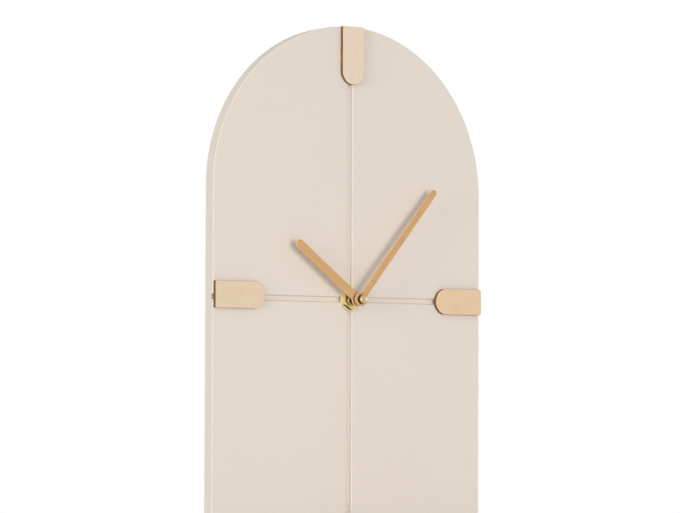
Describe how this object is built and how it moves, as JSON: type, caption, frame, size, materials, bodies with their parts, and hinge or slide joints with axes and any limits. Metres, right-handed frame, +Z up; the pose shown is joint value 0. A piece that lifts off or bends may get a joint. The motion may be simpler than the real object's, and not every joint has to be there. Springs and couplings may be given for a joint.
{
  "type": "wall clock",
  "caption": "Arch-topped painted wooden wall clock with a grooved face, wooden hour markers and stick hands, driven by a battery quartz movement set into its back.",
  "frame": {"origin": "where the axis of the hands meets the wall, on the flat back of the movement", "axes": "+X to the viewer's right, +Y from the dial into the wall, +Z up; the dial faces -Y"},
  "size_m": [0.24, 0.0388, 0.4],
  "materials": {
    "board_paint": "satin cream paint on fibreboard",
    "marker_wood": "bare pale plywood, edges browned by the laser",
    "hand_wood": "tan veneer",
    "brass": "bright turned brass",
    "case_plastic": "fine moulded texture, black",
    "white_plastic": "plain moulded, off-white",
    "rubber": "matt black",
    "steel": "bright nickel-plated",
    "copper": "enamelled copper wire",
    "laminate": "green circuit laminate",
    "resin": "black potting resin",
    "magnet": "dark sintered magnet",
    "battery_jacket": "plain printed jacket, no words"
  },
  "bodies": {
    "clock_body": {"face_board": "board_paint", "marker_12": "marker_wood", "marker_3": "marker_wood", "marker_6": "marker_wood", "marker_9": "marker_wood", "rubber_gasket": "rubber", "brass_washer": "brass", "hex_nut": "brass", "threaded_bush": "brass", "case_front": "case_plastic", "case_back": "case_plastic", "train_bridge": "white_plastic", "circuit_board": "laminate", "chip_cover": "resin", "quartz_crystal": "steel", "coil_bobbin": "white_plastic", "coil_winding": "copper", "coil_core": "steel", "stator": "steel", "contact_positive": "steel", "contact_negative": "steel"},
    "minute_works": {"minute_hand": "hand_wood", "cap_nut": "brass", "minute_arbor": "steel", "centre_wheel": "brass"},
    "hour_works": {"hour_hand": "hand_wood", "hour_wheel": "white_plastic"},
    "reduction": {"reduction_wheel": "white_plastic"},
    "third": {"third_wheel": "white_plastic"},
    "second": {"second_wheel": "white_plastic"},
    "intermediate": {"intermediate_wheel": "white_plastic"},
    "rotor": {"rotor_pinion": "white_plastic", "rotor_magnet": "magnet"},
    "setting": {"setting_knob": "case_plastic", "setting_arbor": "white_plastic"},
    "battery": {"aa_battery": "battery_jacket"}
  },
  "joints": [
    {"name": "minute_turn", "type": "hinge", "parent": "clock_body", "child": "minute_works", "pos_m": [0, -0.03, 0], "axis": [0, 1, 0], "continuous": true},
    {"name": "hour_turn", "type": "hinge", "parent": "clock_body", "child": "hour_works", "pos_m": [0, -0.02, 0], "axis": [0, 1, 0], "continuous": true},
    {"name": "reduction_turn", "type": "hinge", "parent": "clock_body", "child": "reduction", "pos_m": [-0.00566, -0.01, 0.00566], "axis": [0, 1, 0], "continuous": true},
    {"name": "third_turn", "type": "hinge", "parent": "clock_body", "child": "third", "pos_m": [0.00656, -0.01, 0.00379], "axis": [0, 1, 0], "continuous": true},
    {"name": "second_turn", "type": "hinge", "parent": "clock_body", "child": "second", "pos_m": [0.01309, -0.01, 0.00494], "axis": [0, 1, 0], "continuous": true},
    {"name": "intermediate_turn", "type": "hinge", "parent": "clock_body", "child": "intermediate", "pos_m": [0.01595, -0.01, 0.00991], "axis": [0, 1, 0], "continuous": true},
    {"name": "rotor_turn", "type": "hinge", "parent": "clock_body", "child": "rotor", "pos_m": [0.01282, -0.01, 0.01438], "axis": [0, 1, 0], "continuous": true},
    {"name": "setting_turn", "type": "hinge", "parent": "clock_body", "child": "setting", "pos_m": [-0.01293, -0.005, 0.00986], "axis": [0, 1, 0], "continuous": true},
    {"name": "battery_slide", "type": "slide", "parent": "clock_body", "child": "battery", "axis": [0, 1, 0], "range_m": [0, 0.018]}
  ],
  "couplings": [
    {"joint": "hour_turn", "follows": "minute_turn", "ratio": 0.083333},
    {"joint": "reduction_turn", "follows": "minute_turn", "ratio": -0.33333},
    {"joint": "setting_turn", "follows": "minute_turn", "ratio": 0.83333},
    {"joint": "third_turn", "follows": "minute_turn", "ratio": -8},
    {"joint": "second_turn", "follows": "minute_turn", "ratio": 60},
    {"joint": "intermediate_turn", "follows": "minute_turn", "ratio": -300},
    {"joint": "rotor_turn", "follows": "minute_turn", "ratio": 1800}
  ]
}
